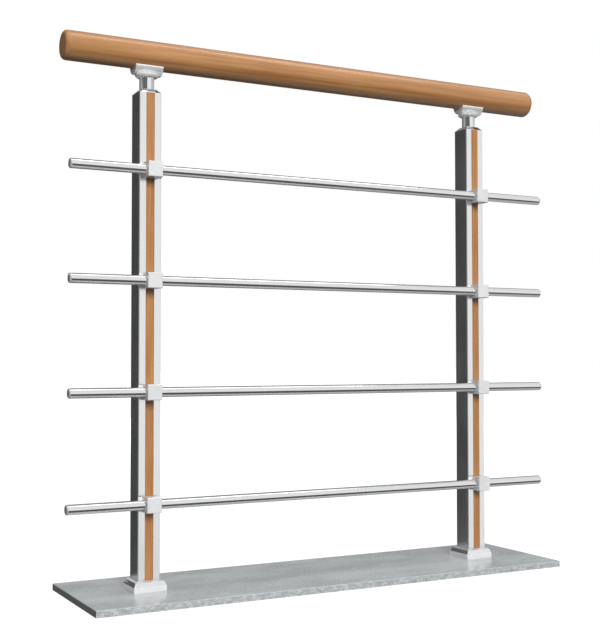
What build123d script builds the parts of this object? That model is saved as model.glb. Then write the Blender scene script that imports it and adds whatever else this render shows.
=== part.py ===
from build123d import *
import math
import os

os.makedirs("parts", exist_ok=True)

# Frame: X runs along the rail, the bars are on the -Y side, Z is up.
# The origin is the middle of the slab's underside.

# Stone slab
SLAB_LENGTH = 938.0
SLAB_DEPTH = 249.0
SLAB_THICK = 11.5
SLAB_ARRIS = 0.8

# Posts, hollow profiles with a groove on the front and the back
POST_PITCH = 690.0
POST_MIDDLE_X = 2.0
POST_SIZE = 40.0
POST_WALL = 2.0
POST_CORNER = 1.5
POST_TOP_Z = SLAB_THICK + 856.3
GROOVE_WIDTH = 15.6
GROOVE_DEPTH = 2.2
STRIP_THICK = 1.7
POSTS = {
    "left": POST_MIDDLE_X - POST_PITCH / 2,
    "right": POST_MIDDLE_X + POST_PITCH / 2,
}

# Post caps, low pyramids with a plug in the post
CAP_SKIRT = 0.6
CAP_RISE = 7.0
CAP_FLAT = 26.0
CAP_PLUG_DEPTH = 12.0
CAP_PLUG_CLEARANCE = 0.2
CAP_BOTTOM_Z = POST_TOP_Z
CAP_TOP_Z = CAP_BOTTOM_Z + CAP_SKIRT + CAP_RISE

# Foot covers
FOOT_SIZE = 59.0
FOOT_LIP = 9.0
FOOT_SHOULDER_SIZE = 52.0
FOOT_SHOULDER_Z = 16.5
FOOT_TOP_SIZE = 42.6
FOOT_TOP_Z = 19.0

# Handrail
RAIL_DIAMETER = 51.0
RAIL_WALL = 1.8
RAIL_LENGTH = 987.0
RAIL_Z = SLAB_THICK + 925.5
RAIL_CAP_THICK = 9.0
RAIL_CAP_EDGE = 7.0
RAIL_CAP_SPIGOT = 12.0

# Supports between the posts and the handrail
NECK_DIAMETER = 26.0
STUD_DIAMETER = 10.0
NECK_TOP_Z = SLAB_THICK + 884.5
SADDLE_LENGTH = 50.0
SADDLE_HALF_DEPTH = 16.5
SADDLE_LIP_Z = RAIL_Z - 20.6
SADDLE_LIP = 1.6
SADDLE_FOOT_HALF_DEPTH = 5.5
SADDLE_FLANK_RADIUS = 20.0
SADDLE_FOOT_Z = SLAB_THICK + 890.0
COLLAR_RADIUS = 21.0
COLLAR_RIM = 1.2
COLLAR_ROUND = 0.6
COLLAR_BOWL_RADIUS = 10.0

# Round bars in front of the posts
BAR_DIAMETER = 17.0
BAR_WALL = 1.5
BAR_LENGTH = 987.0
BAR_Y = -33.75
BAR_FIRST_Z = SLAB_THICK + 148.6
BAR_PITCH = 190.5
BAR_MIDDLE_X = [0.5, 3.5, 3.5, 3.5]
BAR_COUNT = len(BAR_MIDDLE_X)
PLUG_HEAD = 3.0
PLUG_EDGE = 2.0
PLUG_SPIGOT = 10.0
PLUG_GAP = 0.05

# Clips that hold the bars, each on a thin pad against its post
CLIP_WIDTH = 26.0
CLIP_HEIGHT = 26.5
CLIP_FRONT_Y = -47.5
CLIP_CHAMFER = 1.0
PAD_WIDTH = 39.6
PAD_HEIGHT = 24.6
PAD_THICK = 1.5


def bar_z(number):
    """The height of a bar's axis, counted from the bottom."""
    return BAR_FIRST_Z + (number - 1) * BAR_PITCH


def save(node, solid):
    solid.label = node
    export_step(solid, f"parts/{node}.step")


def block(size_x, size_y, size_z, x=0.0, y=0.0, z=0.0):
    """A box with its bottom at z."""
    return Pos(x, y, z) * Box(
        size_x, size_y, size_z, align=(Align.CENTER, Align.CENTER, Align.MIN)
    )


def rod(radius, length, x=0.0, y=0.0, z=0.0):
    """A cylinder along X that starts at x."""
    return Pos(x, y, z) * Rot(0, 90, 0) * Cylinder(
        radius, length, align=(Align.CENTER, Align.CENTER, Align.MIN)
    )


def upright(radius, height, x=0.0, y=0.0, z=0.0):
    """A cylinder along Z that starts at z."""
    return Pos(x, y, z) * Cylinder(
        radius, height, align=(Align.CENTER, Align.CENTER, Align.MIN)
    )


def frustum(low_size, high_size, z_low, z_high, x=0.0):
    """A square frustum between two heights."""
    rise = z_high - z_low
    angle = math.degrees(math.atan2((low_size - high_size) / 2, rise))
    profile = Pos(x, 0, z_low) * Rectangle(low_size, low_size)
    return extrude(profile, amount=rise, dir=(0, 0, 1), taper=angle)


def make_slab():
    slab = block(SLAB_LENGTH, SLAB_DEPTH, SLAB_THICK)
    top = slab.faces().sort_by(Axis.Z)[-1]
    return chamfer(top.edges(), SLAB_ARRIS)


def post_section():
    groove_y = (POST_SIZE - GROOVE_DEPTH) / 2
    rib_width = GROOVE_WIDTH + 2 * POST_WALL
    rib_depth = GROOVE_DEPTH + POST_WALL
    rib_y = (POST_SIZE - rib_depth) / 2
    bore_size = POST_SIZE - 2 * POST_WALL
    outer = RectangleRounded(POST_SIZE, POST_SIZE, POST_CORNER)
    bore = Rectangle(bore_size, bore_size)
    for side in (-1, 1):
        outer -= Pos(0, side * groove_y) * Rectangle(GROOVE_WIDTH, GROOVE_DEPTH)
        bore -= Pos(0, side * rib_y) * Rectangle(rib_width, rib_depth)
    return outer - bore


def make_post(x):
    section = Pos(x, 0, SLAB_THICK) * post_section()
    return extrude(section, amount=POST_TOP_Z - SLAB_THICK, dir=(0, 0, 1))


def make_strip(x, side):
    y = side * (POST_SIZE / 2 - GROOVE_DEPTH + STRIP_THICK / 2)
    height = POST_TOP_Z - SLAB_THICK
    return block(GROOVE_WIDTH, STRIP_THICK, height, x, y, SLAB_THICK)


def make_cap(x):
    skirt_top = CAP_BOTTOM_Z + CAP_SKIRT
    rib = 2 * (GROOVE_DEPTH + POST_WALL)
    plug_x = POST_SIZE - 2 * (POST_WALL + CAP_PLUG_CLEARANCE)
    plug_y = POST_SIZE - rib - 2 * CAP_PLUG_CLEARANCE
    cap = block(POST_SIZE, POST_SIZE, CAP_SKIRT, x, 0, CAP_BOTTOM_Z)
    cap += frustum(POST_SIZE, CAP_FLAT, skirt_top, CAP_TOP_Z, x)
    cap += block(plug_x, plug_y, CAP_PLUG_DEPTH, x, 0, CAP_BOTTOM_Z - CAP_PLUG_DEPTH)
    bore_z = CAP_BOTTOM_Z - CAP_PLUG_DEPTH
    return cap - upright(STUD_DIAMETER / 2, CAP_TOP_Z - bore_z, x, 0, bore_z)


def make_foot(x):
    base = SLAB_THICK
    foot = block(FOOT_SIZE, FOOT_SIZE, FOOT_LIP, x, 0, base)
    foot += frustum(FOOT_SIZE, FOOT_SHOULDER_SIZE, base + FOOT_LIP, base + FOOT_SHOULDER_Z, x)
    foot += frustum(
        FOOT_SHOULDER_SIZE, FOOT_TOP_SIZE, base + FOOT_SHOULDER_Z, base + FOOT_TOP_Z, x
    )
    hole = Pos(x, 0, base) * RectangleRounded(POST_SIZE, POST_SIZE, POST_CORNER)
    return foot - extrude(hole, amount=FOOT_TOP_Z, dir=(0, 0, 1))


def make_neck(x):
    stud_z = CAP_BOTTOM_Z - CAP_PLUG_DEPTH
    neck = upright(NECK_DIAMETER / 2, NECK_TOP_Z - CAP_TOP_Z, x, 0, CAP_TOP_Z)
    return neck + upright(STUD_DIAMETER / 2, CAP_TOP_Z - stud_z, x, 0, stud_z)


def make_collar(x):
    """The shallow round bowl under a saddle, turned about the neck's axis."""
    neck_edge = (NECK_DIAMETER / 2, NECK_TOP_Z)
    rim_low = (COLLAR_RADIUS, SADDLE_FOOT_Z - COLLAR_RIM)
    outline = RadiusArc(neck_edge, rim_low, -COLLAR_BOWL_RADIUS)
    outline += Polyline(
        rim_low,
        (COLLAR_RADIUS, SADDLE_FOOT_Z),
        (0, SADDLE_FOOT_Z),
        (0, NECK_TOP_Z),
        neck_edge,
    )
    section = make_face(outline)
    section = fillet(section.vertices().sort_by(Axis.X)[-2:], COLLAR_ROUND)
    return Pos(x, 0, 0) * revolve(Plane.XZ * section, Axis.Z)


def make_saddle(x):
    """A cradle with upright lips and rounded flanks, hollowed by the handrail."""
    lip_low = SADDLE_LIP_Z - SADDLE_LIP
    outline = Line((-SADDLE_FOOT_HALF_DEPTH, SADDLE_FOOT_Z), (SADDLE_FOOT_HALF_DEPTH, SADDLE_FOOT_Z))
    outline += RadiusArc(
        (SADDLE_FOOT_HALF_DEPTH, SADDLE_FOOT_Z), (SADDLE_HALF_DEPTH, lip_low), -SADDLE_FLANK_RADIUS
    )
    outline += Polyline(
        (SADDLE_HALF_DEPTH, lip_low),
        (SADDLE_HALF_DEPTH, SADDLE_LIP_Z),
        (-SADDLE_HALF_DEPTH, SADDLE_LIP_Z),
        (-SADDLE_HALF_DEPTH, lip_low),
    )
    outline += RadiusArc(
        (-SADDLE_HALF_DEPTH, lip_low), (-SADDLE_FOOT_HALF_DEPTH, SADDLE_FOOT_Z), -SADDLE_FLANK_RADIUS
    )
    section = Plane.YZ.offset(x - SADDLE_LENGTH / 2) * make_face(outline)
    saddle = extrude(section, amount=SADDLE_LENGTH, dir=(1, 0, 0))
    saddle += make_collar(x)
    return saddle - rod(RAIL_DIAMETER / 2, RAIL_LENGTH, x - RAIL_LENGTH / 2, 0, RAIL_Z)


def make_rail():
    length = RAIL_LENGTH - 2 * RAIL_CAP_THICK
    tube = rod(RAIL_DIAMETER / 2, length, -length / 2, 0, RAIL_Z)
    return tube - rod(RAIL_DIAMETER / 2 - RAIL_WALL, length, -length / 2, 0, RAIL_Z)


def make_end(diameter, wall, head, edge, spigot, end_x, y, z, side):
    """A plug in a tube's end, with its rounded head outside."""
    outer = rod(diameter / 2, head, min(end_x, end_x - side * head), y, z)
    rim = outer.faces().sort_by(Axis.X)[-1 if side > 0 else 0].edges()
    outer = fillet(rim, edge)
    inner_x = end_x - side * head
    inner = rod(
        diameter / 2 - wall - PLUG_GAP, spigot, min(inner_x, inner_x - side * spigot), y, z
    )
    return outer + inner


def make_bar(middle_x, z):
    length = BAR_LENGTH - 2 * PLUG_HEAD
    start = middle_x - length / 2
    tube = rod(BAR_DIAMETER / 2, length, start, BAR_Y, z)
    return tube - rod(BAR_DIAMETER / 2 - BAR_WALL, length, start, BAR_Y, z)


def make_clip(x, z):
    back_y = -POST_SIZE / 2 - PAD_THICK
    clip = block(
        CLIP_WIDTH,
        back_y - CLIP_FRONT_Y,
        CLIP_HEIGHT,
        x,
        (back_y + CLIP_FRONT_Y) / 2,
        z - CLIP_HEIGHT / 2,
    )
    face = clip.faces().sort_by(Axis.Y)[0]
    clip = chamfer(face.edges(), CLIP_CHAMFER)
    return clip - rod(BAR_DIAMETER / 2, 2 * CLIP_WIDTH, x - CLIP_WIDTH, BAR_Y, z)


def make_pads(x):
    pad_y = -(POST_SIZE + PAD_THICK) / 2
    pads = [
        block(PAD_WIDTH, PAD_THICK, PAD_HEIGHT, x, pad_y, bar_z(number) - PAD_HEIGHT / 2)
        for number in range(1, BAR_COUNT + 1)
    ]
    return Compound(children=pads)


save("stone_slab", make_slab())

for side_name, post_x in POSTS.items():
    save(f"post_{side_name}", make_post(post_x))
    save(f"wood_strip_front_{side_name}", make_strip(post_x, -1))
    save(f"wood_strip_back_{side_name}", make_strip(post_x, 1))
    save(f"post_cap_{side_name}", make_cap(post_x))
    save(f"foot_cover_{side_name}", make_foot(post_x))
    save(f"neck_{side_name}", make_neck(post_x))
    save(f"saddle_{side_name}", make_saddle(post_x))
    save(f"clip_pads_{side_name}", make_pads(post_x))

save("handrail", make_rail())
for side_name, side in (("left", -1), ("right", 1)):
    rail_end = make_end(
        RAIL_DIAMETER,
        RAIL_WALL,
        RAIL_CAP_THICK,
        RAIL_CAP_EDGE,
        RAIL_CAP_SPIGOT,
        side * RAIL_LENGTH / 2,
        0,
        RAIL_Z,
        side,
    )
    save(f"handrail_cap_{side_name}", rail_end)

for number, middle_x in enumerate(BAR_MIDDLE_X, start=1):
    z = bar_z(number)
    save(f"bar_{number}", make_bar(middle_x, z))
    for side_name, side in (("left", -1), ("right", 1)):
        plug = make_end(
            BAR_DIAMETER,
            BAR_WALL,
            PLUG_HEAD,
            PLUG_EDGE,
            PLUG_SPIGOT,
            middle_x + side * BAR_LENGTH / 2,
            BAR_Y,
            z,
            side,
        )
        save(f"bar_plug_{number}_{side_name}", plug)
        save(f"bar_clip_{number}_{side_name}", make_clip(POSTS[side_name], z))
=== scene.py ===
import math

import bpy
from mathutils import Matrix, Vector


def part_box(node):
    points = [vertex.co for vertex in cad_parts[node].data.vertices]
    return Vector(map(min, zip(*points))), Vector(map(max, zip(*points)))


# Camera at the photograph's viewing angle, metres and degrees in the part's frame
CAMERA_PLACE = Vector((-1.0263, -1.8575, 0.4092))
CAMERA_YAW = 27.9585
CAMERA_PITCH = 1.957
CAMERA_ROLL = -0.0388
CAMERA_LENS = 63.874
CAMERA_REACH = (0.05, 200.0)
SENSOR_WIDTH = 36.0

# Lamps, metres and watts. One that isn't reflected leaves the metal to the panels of the world
LAMPS = (
    dict(name="key_softbox", place=(-1.5, -5.6, 3.1), target=(0.0, 0.0, 0.5),
         width=3.6, height=2.8, watts=410.0, reflected=False),
    dict(name="top_softbox", place=(0.0, -0.30, 3.0), target=(0.0, -0.1, 0.9),
         width=3.4, height=0.42, watts=16.0, reflected=True),
    dict(name="back_softbox", place=(1.7, 5.2, 1.7), target=(0.0, 0.0, 0.5),
         width=3.0, height=2.2, watts=190.0, reflected=False),
)

# Diffuse glow of the world: its brightness below and above, and its factors on the left and in front.
# AMBIENT_RISE is the direction's Z over which it changes, and AMBIENT_TURN is the direction's X or Y
AMBIENT_BOTTOM = 0.10
AMBIENT_TOP = 0.36
AMBIENT_RISE = (-0.5, 0.7)
AMBIENT_LEFT = 0.60
AMBIENT_FRONT = 1.25
AMBIENT_TURN = (-0.7, 0.2)

# Floor, metres: its size, its greys, and the distances over which its glow grows to full white
FLOOR_SIZE = 60.0
FLOOR_CELLS = 4
FLOOR_GREYS = (0.30, 0.31)
FLOOR_GRAIN = 3.0
FLOOR_GLOW_NEAR = 0.80
FLOOR_GLOW_REACH = (1.0, 3.2)

# Studio surroundings that only reflections see. Panels stand round the horizon, under a sky and over a
# low band and a floor. Stops are (azimuth from +Y towards +X, brightness), and angles are in degrees.
# SKY_TURN and LOW_FLOOR_TURN are the direction's Y over which the near side turns into the far one
HORIZON_LEVELS = (
    (0.0, 0.55),
    (8.0, 0.55),
    (14.0, 0.12),
    (44.0, 0.15),
    (56.0, 0.75),
    (108.0, 0.75),
    (118.0, 0.32),
    (128.0, 0.97),
    (186.0, 0.97),
    (196.0, 0.15),
    (256.0, 0.15),
    (266.0, 0.46),
    (310.0, 0.46),
    (320.0, 0.05),
    (349.0, 0.05),
    (354.0, 0.55),
)
HORIZON_FADE = (24.0, 50.0)
SKY_NEAR = 0.92
SKY_FAR = 0.28
SKY_TURN = (0.15, 0.45)
LOW_BAND_LEVELS = (
    (0.0, 0.50),
    (8.0, 0.50),
    (14.0, 0.12),
    (34.0, 0.12),
    (54.0, 0.50),
    (118.0, 0.50),
    (130.0, 0.10),
    (172.0, 0.10),
    (188.0, 0.52),
    (316.0, 0.52),
    (330.0, 0.20),
    (349.0, 0.12),
    (354.0, 0.50),
)
LOW_BAND_TOP = (-10.0, -17.0)
LOW_BAND_BOTTOM = (-52.0, -64.0)
LOW_FLOOR_NEAR = 0.62
LOW_FLOOR_FAR = 0.42
LOW_FLOOR_TURN = (-0.25, 0.25)

# Rounded edges, metres and degrees
ROUNDED_PIECES = ("foot_cover_", "post_cap_")
EDGE_ROUND = 0.0006
EDGE_SEGMENTS = 2
EDGE_ANGLE = 20.0
WELD_DISTANCE = 0.00001

# Edge wear: how alike the true and the rounded normal are where it starts and where it is full
WEAR_STARTS = 0.97
WEAR_FULL = 0.80
WEAR_SAMPLES = 4

# Colours, linear
WHITE = (1.0, 1.0, 1.0, 1.0)
ALUMINIUM = (0.81, 0.82, 0.83)
BAR_METAL = (0.79, 0.79, 0.80)
CHROME = (0.83, 0.84, 0.86)
WOOD_LIGHT = (0.465, 0.228, 0.085)
WOOD_DARK = (0.315, 0.131, 0.037)
CAP_BROWN = (0.41, 0.195, 0.08)
STONE_BASE = (0.52, 0.551, 0.561)
PLUG_GREY = (0.55, 0.55, 0.56)
PAD_GREY = (0.86, 0.865, 0.87)
COVER_GREY = (0.78, 0.79, 0.80)
SADDLE_GREY = (0.93, 0.935, 0.94)
CLIP_GREY = (0.72, 0.725, 0.73)

# Foot covers: the heights over the slab where the lip and the slope end, and each part's metalness
COVER_LIP = 0.009
COVER_SLOPE = 0.0165
LIP_METALNESS = 0.25
SLOPE_METALNESS = 0.88
TOP_METALNESS = 0.60

# Clear coat of the foil
COAT_ROUGHNESS = 0.16
COAT_IOR = 1.65


class Graph:
    """A node tree with short ways to add and join nodes."""

    def __init__(self, tree):
        self.tree = tree
        tree.nodes.clear()

    def node(self, kind, inputs=None, **settings):
        made = self.tree.nodes.new(kind)
        for name, value in settings.items():
            setattr(made, name, value)
        for name, value in (inputs or {}).items():
            if isinstance(value, bpy.types.NodeSocket):
                self.tree.links.new(value, made.inputs[name])
            else:
                made.inputs[name].default_value = value
        return made

    def math(self, operation, *values):
        return self.node("ShaderNodeMath", dict(enumerate(values)), operation=operation).outputs[0]

    def split(self, vector):
        """The X, Y and Z of a vector."""
        return self.node("ShaderNodeSeparateXYZ", {0: vector}).outputs

    def place(self):
        """Where a point of the surface is, in the part's own metres."""
        return self.node("ShaderNodeTexCoord").outputs["Object"]

    def ramp(self, value, low, high, out_low=0.0, out_high=1.0):
        """A smooth step from out_low at low to out_high at high."""
        inputs = {"Value": value, "From Min": low, "From Max": high, "To Min": out_low, "To Max": out_high}
        return self.node("ShaderNodeMapRange", inputs, interpolation_type="SMOOTHSTEP").outputs[0]

    def blend(self, factor, first, second):
        """A number between two others."""
        inputs = {0: factor, 2: first, 3: second}
        return self.node("ShaderNodeMix", inputs, data_type="FLOAT").outputs[0]

    def levels(self, value, stops):
        """A value from 0 to 1 turned into brightness between stops of (place, brightness)."""
        made = self.node("ShaderNodeValToRGB", {0: value})
        elements = made.color_ramp.elements
        while len(elements) > 1:
            elements.remove(elements[-1])
        elements[0].position = stops[0][0]
        elements[0].color = (*[stops[0][1]] * 3, 1.0)
        for place, brightness in stops[1:]:
            elements.new(place).color = (*[brightness] * 3, 1.0)
        return made.outputs[0]

    def mix(self, factor, first, second):
        """A colour between two others."""
        made = self.node("ShaderNodeMix", {0: factor}, data_type="RGBA", blend_type="MIX")
        for index, value in ((6, first), (7, second)):
            if isinstance(value, bpy.types.NodeSocket):
                self.tree.links.new(value, made.inputs[index])
            else:
                made.inputs[index].default_value = (*value, 1.0)
        return made.outputs[2]

    def noise(self, scale, detail, roughness, stretch=(1.0, 1.0, 1.0), offset=(0.0, 0.0, 0.0)):
        """Noise with scale cells to the metre, drawn out along axes with small stretch factors."""
        inputs = {"Vector": self.place(), "Scale": stretch, "Location": offset}
        mapped = self.node("ShaderNodeMapping", inputs).outputs[0]
        inputs = {"Vector": mapped, "Scale": scale, "Detail": detail, "Roughness": roughness}
        return self.node("ShaderNodeTexNoise", inputs).outputs[0]

    def bump(self, height, distance, strength, normal=None):
        """Relief that is distance metres high."""
        inputs = {"Height": height, "Distance": distance, "Strength": strength}
        if normal is not None:
            inputs["Normal"] = normal
        return self.node("ShaderNodeBump", inputs).outputs[0]

    def finish(self, **inputs):
        """The surface shader, with its sockets' names written with underscores."""
        sockets = {name.replace("_", " "): value for name, value in inputs.items()}
        shader = self.node("ShaderNodeBsdfPrincipled", sockets)
        self.node("ShaderNodeOutputMaterial", {"Surface": shader.outputs[0]})


def new_material(name):
    material = bpy.data.materials.new(name)
    material.use_nodes = True
    return material, Graph(material.node_tree)


def tint(colour, factor):
    return tuple(channel * factor for channel in colour)


def drawn_out(along, factor):
    """Stretch factors that draw noise out along one axis."""
    stretch = [1.0, 1.0, 1.0]
    stretch["XYZ".index(along)] = factor
    return stretch


def edge_wear(g, radius):
    """1 on worn edges, 0 on flat faces, from a bevelled normal set against the true one."""
    true_normal = g.node("ShaderNodeNewGeometry").outputs["True Normal"]
    rounded = g.node("ShaderNodeBevel", {"Radius": radius}, samples=WEAR_SAMPLES).outputs[0]
    inputs = {0: true_normal, 1: rounded}
    likeness = g.node("ShaderNodeVectorMath", inputs, operation="DOT_PRODUCT").outputs["Value"]
    return g.ramp(likeness, WEAR_STARTS, WEAR_FULL)


def extruded_metal(name, colour, along, roughness, line_scale, metallic):
    """Anodised metal with fine lines along one axis, faint patches and paler edges."""
    material, g = new_material(name)
    lines = g.noise(line_scale, detail=3.0, roughness=0.6, stretch=drawn_out(along, 0.012))
    patches = g.noise(9.0, detail=3.0, roughness=0.5, offset=(3.1, 1.7, 0.4))
    base = g.mix(g.ramp(patches, 0.35, 0.65), tint(colour, 0.965), colour)
    base = g.mix(g.ramp(lines, 0.2, 0.8, out_high=0.35), base, tint(colour, 0.93))
    base = g.mix(edge_wear(g, radius=0.0008), base, tint(colour, 1.08))
    patch_rough = g.ramp(patches, 0.3, 0.7, roughness - 0.02, roughness + 0.03)
    rough = g.math("ADD", g.ramp(lines, 0.25, 0.75, -0.03, 0.03), patch_rough)
    normal = g.bump(lines, distance=0.00002, strength=0.35)
    g.finish(Base_Color=base, Metallic=metallic, Roughness=rough, Normal=normal)
    return material


def chrome_metal(name):
    """Bright plated castings with faint waves and fine rubbing marks."""
    material, g = new_material(name)
    waves = g.noise(60.0, detail=2.0, roughness=0.5)
    rubbing = g.noise(1400.0, detail=2.0, roughness=0.6, stretch=drawn_out("Z", 0.1))
    base = g.mix(g.ramp(waves, 0.3, 0.7), tint(CHROME, 0.96), CHROME)
    base = g.mix(edge_wear(g, radius=0.0006), base, tint(CHROME, 1.08))
    rough = g.ramp(rubbing, 0.3, 0.7, 0.08, 0.13)
    normal = g.bump(waves, distance=0.00025, strength=0.5)
    g.finish(Base_Color=base, Metallic=1.0, Roughness=rough, Normal=normal)
    return material


def cast_metal(name, colour, roughness, metallic):
    """Satin castings: a faint sand-cast grain, slow tone changes and rubbed edges."""
    material, g = new_material(name)
    grain = g.noise(900.0, detail=4.0, roughness=0.6)
    patches = g.noise(30.0, detail=3.0, roughness=0.5, offset=(0.6, 2.2, 1.1))
    base = g.mix(g.ramp(patches, 0.3, 0.7), tint(colour, 0.95), tint(colour, 1.03))
    base = g.mix(g.ramp(grain, 0.55, 0.75, out_high=0.25), base, tint(colour, 0.85))
    base = g.mix(edge_wear(g, radius=0.0007), base, tint(colour, 1.10))
    rough = g.ramp(grain, 0.3, 0.7, roughness - 0.03, roughness + 0.05)
    normal = g.bump(grain, distance=0.00003, strength=0.4)
    g.finish(Base_Color=base, Metallic=metallic, Roughness=rough, Normal=normal)
    return material


def cover_metal(name, slab_top):
    """Foot covers: a satin lip, a polished slope over it and a half-polished top."""
    material, g = new_material(name)
    grain = g.noise(900.0, detail=4.0, roughness=0.6)
    patches = g.noise(30.0, detail=3.0, roughness=0.5, offset=(0.6, 2.2, 1.1))
    base = g.mix(g.ramp(patches, 0.3, 0.7), tint(COVER_GREY, 0.95), tint(COVER_GREY, 1.03))
    base = g.mix(edge_wear(g, radius=0.0007), base, tint(COVER_GREY, 1.10))
    height = g.split(g.place())[2]
    over_lip = g.ramp(height, slab_top + COVER_LIP, slab_top + COVER_LIP + EDGE_ROUND)
    over_slope = g.ramp(height, slab_top + COVER_SLOPE - EDGE_ROUND, slab_top + COVER_SLOPE)
    metallic = g.blend(over_lip, LIP_METALNESS, SLOPE_METALNESS)
    metallic = g.blend(over_slope, metallic, TOP_METALNESS)
    rough = g.ramp(grain, 0.3, 0.7, 0.15, 0.21)
    normal = g.bump(grain, distance=0.00003, strength=0.4)
    g.finish(Base_Color=base, Metallic=metallic, Roughness=rough, Normal=normal)
    return material


def wood_foil(name, along, grain_scale, roughness, coat):
    """Wood-printed foil: long grain along one axis, slow bands, fine dark pores, clear coat if any."""
    material, g = new_material(name)
    stretch = drawn_out(along, 0.035)
    broad = g.noise(grain_scale * 0.22, detail=3.0, roughness=0.5, stretch=stretch)
    grain = g.noise(grain_scale, detail=5.0, roughness=0.62, stretch=stretch, offset=(0.7, 0.2, 1.3))
    pores = g.noise(grain_scale * 5.0, detail=2.0, roughness=0.7, stretch=stretch, offset=(2.7, 0.9, 0.1))
    base = g.mix(g.ramp(grain, 0.30, 0.70), WOOD_DARK, WOOD_LIGHT)
    base = g.mix(g.ramp(broad, 0.35, 0.65, out_high=0.45), base, tint(WOOD_LIGHT, 0.95))
    base = g.mix(g.ramp(pores, 0.60, 0.75, out_high=0.35), base, tint(WOOD_DARK, 0.65))
    rough = g.ramp(grain, 0.3, 0.7, roughness + 0.05, roughness - 0.03)
    normal = g.bump(pores, distance=0.00003, strength=0.5)
    normal = g.bump(grain, distance=0.00005, strength=0.5, normal=normal)
    clear = {"Coat_Weight": coat, "Coat_Roughness": COAT_ROUGHNESS, "Coat_IOR": COAT_IOR}
    g.finish(Base_Color=base, Roughness=rough, Normal=normal, **clear)
    return material


def moulded(name, colour, roughness, metallic=0.0):
    """Moulded plastic or rubber with a fine grain and slightly rubbed edges."""
    material, g = new_material(name)
    grain = g.noise(1800.0, detail=3.0, roughness=0.6)
    patches = g.noise(40.0, detail=3.0, roughness=0.5)
    base = g.mix(g.ramp(patches, 0.3, 0.7), tint(colour, 0.86), tint(colour, 1.08))
    base = g.mix(edge_wear(g, radius=0.0006), base, tint(colour, 1.5))
    rough = g.ramp(grain, 0.3, 0.7, roughness - 0.05, roughness + 0.06)
    normal = g.bump(grain, distance=0.00003, strength=0.5)
    g.finish(Base_Color=base, Metallic=metallic, Roughness=rough, Normal=normal)
    return material


def granite(name):
    """Grey granite: a polished top with grains and slow clouds, rough sides, and painted shade on the left
    end.
    """
    material, g = new_material(name)
    clouds = g.noise(9.0, detail=5.0, roughness=0.6, stretch=(0.6, 1.4, 1.0))
    grains = g.noise(240.0, detail=3.0, roughness=0.65)
    flecks = g.noise(430.0, detail=2.0, roughness=0.5, offset=(4.0, 2.0, 1.0))
    blotches = g.noise(95.0, detail=4.0, roughness=0.7, stretch=(1.0, 1.0, 2.0), offset=(1.0, 5.0, 2.0))
    top = g.mix(g.ramp(clouds, 0.35, 0.65), tint(STONE_BASE, 0.88), tint(STONE_BASE, 1.10))
    top = g.mix(g.ramp(grains, 0.50, 0.72, out_high=0.45), top, tint(STONE_BASE, 1.45))
    top = g.mix(g.ramp(flecks, 0.58, 0.72, out_high=0.45), top, tint(STONE_BASE, 0.45))
    facing = g.split(g.node("ShaderNodeNewGeometry").outputs["Normal"])
    is_side = g.ramp(facing[2], 0.85, 0.5)
    # Mask of the left-facing end, where shade is painted into the stone's colour
    painted_shade_left = g.ramp(facing[0], -0.5, -0.85)
    side = g.mix(g.ramp(blotches, 0.42, 0.62), tint(STONE_BASE, 0.78), tint(STONE_BASE, 1.08))
    side = g.mix(g.ramp(flecks, 0.55, 0.68, out_high=0.60), side, tint(STONE_BASE, 0.30))
    # Painted shade: faces turned to the left are darkened to 0.30 of the stone's colour, standing in for
    # the shade on that end
    side = g.mix(painted_shade_left, side, tint(STONE_BASE, 0.30))
    base = g.mix(is_side, top, side)
    rough = g.math("ADD", g.ramp(grains, 0.3, 0.7, 0.16, 0.26), g.math("MULTIPLY", is_side, 0.35))
    normal = g.bump(grains, distance=g.math("MULTIPLY", is_side, 0.0006), strength=0.8)
    g.finish(Base_Color=base, Roughness=rough, Normal=normal)
    return material


def sines(angles):
    return (math.sin(math.radians(angle)) for angle in angles)


def studio_reflections(g, toward):
    """What reflections see in a direction: panels, sky, low band and floor."""
    turn = g.math("DIVIDE", g.math("ARCTAN2", toward[0], toward[1]), math.tau)
    turn = g.math("FRACT", g.math("ADD", turn, 1.0))
    panels, low_band = (
        g.levels(turn, [(azimuth / 360.0, brightness) for azimuth, brightness in stops])
        for stops in (HORIZON_LEVELS, LOW_BAND_LEVELS)
    )
    sky = g.ramp(toward[1], *SKY_TURN, SKY_NEAR, SKY_FAR)
    floor = g.ramp(toward[1], *LOW_FLOOR_TURN, LOW_FLOOR_NEAR, LOW_FLOOR_FAR)
    level = g.blend(g.ramp(toward[2], *sines(HORIZON_FADE)), panels, sky)
    level = g.blend(g.ramp(toward[2], *sines(LOW_BAND_TOP)), level, low_band)
    return g.blend(g.ramp(toward[2], *sines(LOW_BAND_BOTTOM)), level, floor)


def ambient_glow(g, toward):
    """The diffuse light from a direction."""
    glow = g.ramp(toward[2], *AMBIENT_RISE, AMBIENT_BOTTOM, AMBIENT_TOP)
    glow = g.math("MULTIPLY", glow, g.ramp(toward[0], *AMBIENT_TURN, AMBIENT_LEFT, 1.0))
    return g.math("MULTIPLY", glow, g.ramp(toward[1], *AMBIENT_TURN, AMBIENT_FRONT, 1.0))


def make_world():
    """A white studio. Reflections also see its dark panels, and diffuse light is an even glow."""
    world = bpy.data.worlds.new("studio")
    bpy.context.scene.world = world
    world.use_nodes = True
    g = Graph(world.node_tree)
    toward = g.split(g.node("ShaderNodeTexCoord").outputs["Generated"])
    path = g.node("ShaderNodeLightPath").outputs
    white = g.math("MAXIMUM", path["Is Camera Ray"], path["Is Transmission Ray"])
    reflected = g.math("MULTIPLY", path["Is Glossy Ray"], studio_reflections(g, toward))
    is_diffuse = g.math("SUBTRACT", 1.0, g.math("MAXIMUM", white, path["Is Glossy Ray"]))
    glow = g.math("MULTIPLY", is_diffuse, ambient_glow(g, toward))
    strength = g.math("ADD", g.math("MAXIMUM", white, reflected), glow)
    background = g.node("ShaderNodeBackground", {"Color": WHITE, "Strength": strength})
    g.node("ShaderNodeOutputWorld", {"Surface": background.outputs[0]})


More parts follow.
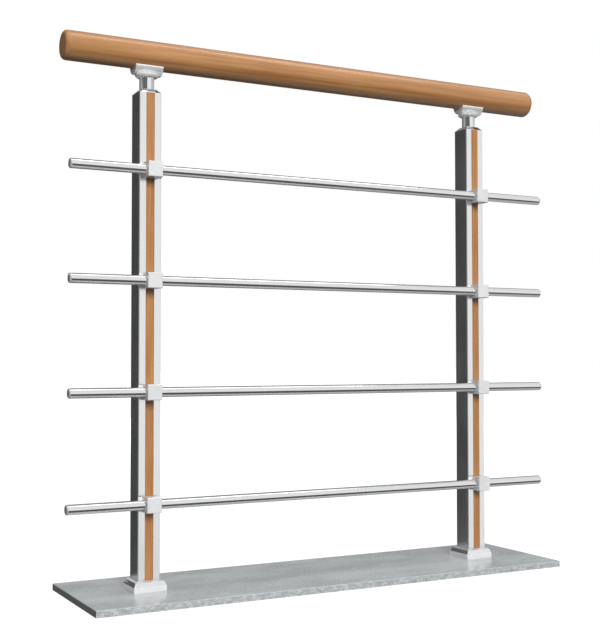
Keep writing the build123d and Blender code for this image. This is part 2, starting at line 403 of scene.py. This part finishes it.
def make_floor():
    """A plain white floor that keeps the object's shadow and isn't in its reflections."""
    material, g = new_material("floor_white")
    grain = g.noise(FLOOR_GRAIN, detail=2.0, roughness=0.5)
    shade = g.mix(grain, *([grey] * 3 for grey in FLOOR_GREYS))
    diffuse = g.node("ShaderNodeBsdfDiffuse", {"Color": shade}).outputs[0]
    distance = g.node("ShaderNodeVectorMath", {0: g.place()}, operation="LENGTH").outputs["Value"]
    fill = g.ramp(distance, *FLOOR_GLOW_REACH, FLOOR_GLOW_NEAR, 1.0)
    is_seen = g.node("ShaderNodeLightPath").outputs["Is Camera Ray"]
    emission = g.node("ShaderNodeEmission", {"Strength": g.math("MULTIPLY", is_seen, fill)}).outputs[0]
    both = g.node("ShaderNodeAddShader", {0: diffuse, 1: emission}).outputs[0]
    g.node("ShaderNodeOutputMaterial", {"Surface": both})
    bpy.ops.mesh.primitive_grid_add(
        size=FLOOR_SIZE, x_subdivisions=FLOOR_CELLS, y_subdivisions=FLOOR_CELLS
    )
    floor = bpy.context.object
    floor.name = "studio_floor"
    floor.data.materials.append(material)
    floor.visible_glossy = False
    floor.visible_diffuse = False


def add_lamp(name, place, target, width, height, watts, reflected):
    data = bpy.data.lights.new(name, "AREA")
    data.shape = "RECTANGLE"
    data.size = width
    data.size_y = height
    data.energy = watts
    lamp = bpy.data.objects.new(name, data)
    lamp.location = place
    lamp.visible_glossy = reflected
    toward = Vector(target) - Vector(place)
    lamp.rotation_euler = toward.to_track_quat("-Z", "Y").to_euler()
    bpy.context.scene.collection.objects.link(lamp)


def make_camera():
    yaw, pitch, roll = (math.radians(angle) for angle in (CAMERA_YAW, CAMERA_PITCH, CAMERA_ROLL))
    level_forward = Vector((math.sin(yaw), math.cos(yaw), 0.0))
    forward = level_forward * math.cos(pitch) + Vector((0.0, 0.0, math.sin(pitch)))
    level_right = Vector((math.cos(yaw), -math.sin(yaw), 0.0))
    level_up = level_right.cross(forward)
    right = level_right * math.cos(roll) + level_up * math.sin(roll)
    up = level_up * math.cos(roll) - level_right * math.sin(roll)
    data = bpy.data.cameras.new("photo_camera")
    data.sensor_width = SENSOR_WIDTH
    data.lens = CAMERA_LENS
    data.clip_start, data.clip_end = CAMERA_REACH
    camera = bpy.data.objects.new("photo_camera", data)
    axes = Matrix((right, up, -forward)).transposed()
    camera.matrix_world = Matrix.Translation(CAMERA_PLACE) @ axes.to_4x4()
    bpy.context.scene.collection.objects.link(camera)
    bpy.context.scene.camera = camera


def dress(nodes):
    """Each node takes the first of these finishes whose key is the start of its name."""
    slab_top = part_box("foot_cover_left")[0][2]
    finishes = {
        "stone_slab": granite("slab_granite"),
        "post_": extruded_metal(
            "post_aluminium", ALUMINIUM, "Z", roughness=0.17, line_scale=900.0, metallic=0.98
        ),
        "foot_cover_": cover_metal("foot_cover_satin", slab_top),
        "wood_strip_": wood_foil("strip_foil", "Z", grain_scale=260.0, roughness=0.37, coat=0.0),
        "bar_clip_": cast_metal("clip_cast_aluminium", CLIP_GREY, roughness=0.26, metallic=0.15),
        "bar_plug_": moulded("bar_plug_plastic", PLUG_GREY, roughness=0.30, metallic=0.5),
        "bar_": extruded_metal(
            "bar_metal_polished", BAR_METAL, "X", roughness=0.12, line_scale=1200.0, metallic=1.0
        ),
        "clip_pads_": moulded("clip_pad_rubber", PAD_GREY, roughness=0.65),
        "neck_": chrome_metal("neck_chrome"),
        "saddle_": cast_metal("saddle_cast_aluminium", SADDLE_GREY, roughness=0.24, metallic=0.5),
        "handrail_cap_": moulded("handrail_cap_plastic", CAP_BROWN, roughness=0.34),
        "handrail": wood_foil("handrail_foil", "X", grain_scale=150.0, roughness=0.34, coat=0.30),
    }
    for name, piece in nodes.items():
        material = next(finish for key, finish in finishes.items() if name.startswith(key))
        piece.data.materials.clear()
        piece.data.materials.append(material)


def round_edges(nodes):
    """A small round on each sharp edge of the rounded pieces, whose flat faces stay crisp."""
    for name, piece in nodes.items():
        if not name.startswith(ROUNDED_PIECES):
            continue
        weld = piece.modifiers.new("weld", "WELD")
        weld.merge_threshold = WELD_DISTANCE
        bevel = piece.modifiers.new("edge_round", "BEVEL")
        bevel.width = EDGE_ROUND
        bevel.segments = EDGE_SEGMENTS
        bevel.limit_method = "ANGLE"
        bevel.angle_limit = math.radians(EDGE_ANGLE)
        bevel.harden_normals = True


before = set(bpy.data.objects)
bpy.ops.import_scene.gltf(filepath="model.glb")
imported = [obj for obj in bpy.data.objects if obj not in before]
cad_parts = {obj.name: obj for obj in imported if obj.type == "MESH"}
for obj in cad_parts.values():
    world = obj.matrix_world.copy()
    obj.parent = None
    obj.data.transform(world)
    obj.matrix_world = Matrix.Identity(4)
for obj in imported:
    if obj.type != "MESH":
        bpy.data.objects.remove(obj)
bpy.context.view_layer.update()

make_camera()
make_world()
make_floor()
for lamp in LAMPS:
    add_lamp(**lamp)
dress(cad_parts)
round_edges(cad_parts)

bpy.context.scene.view_settings.view_transform = "Standard"
